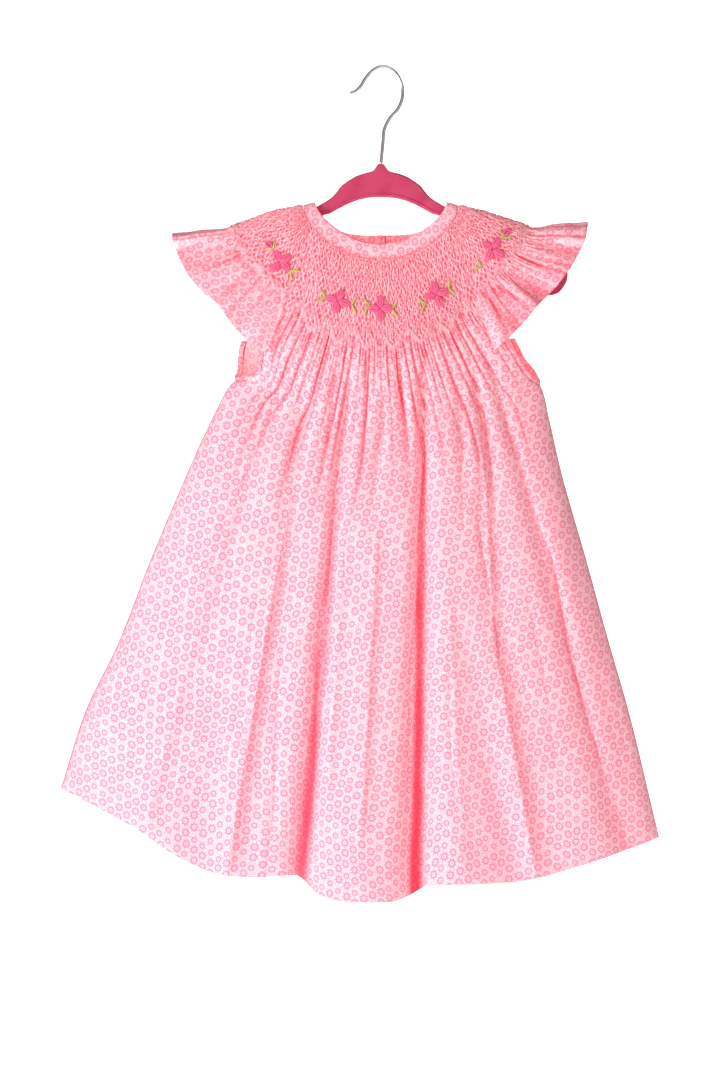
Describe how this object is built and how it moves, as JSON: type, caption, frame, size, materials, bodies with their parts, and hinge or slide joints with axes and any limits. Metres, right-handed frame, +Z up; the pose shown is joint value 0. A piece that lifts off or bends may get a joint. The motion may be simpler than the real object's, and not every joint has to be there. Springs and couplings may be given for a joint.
{
  "type": "smocked dress on a hanger",
  "caption": "Child's raglan dress with a smocked yoke, flutter sleeves and a wide gathered skirt, hung on a small flocked hanger with a wire hook.",
  "frame": {"origin": "where the hook rests on a rail: the inside top of the hook's bend, in the plane of the hanger", "axes": "+Z up, the front of the dress faces -Y, and +X is the right-hand side when the front is looked at"},
  "size_m": [0.48, 0.1156, 0.6697],
  "materials": {
    "printed_cotton": "matte",
    "flocked_hanger": "matte",
    "chrome_wire": "polished",
    "pearl_button": "gloss"
  },
  "bodies": {
    "root": {"front": "printed_cotton", "back_left": "printed_cotton", "back_right": "printed_cotton", "sleeve_left": "printed_cotton", "sleeve_right": "printed_cotton", "neck_binding": "printed_cotton", "armhole_binding_left": "printed_cotton", "armhole_binding_right": "printed_cotton", "hanger": "flocked_hanger", "hook": "chrome_wire", "button": "pearl_button"}
  },
  "joints": []
}
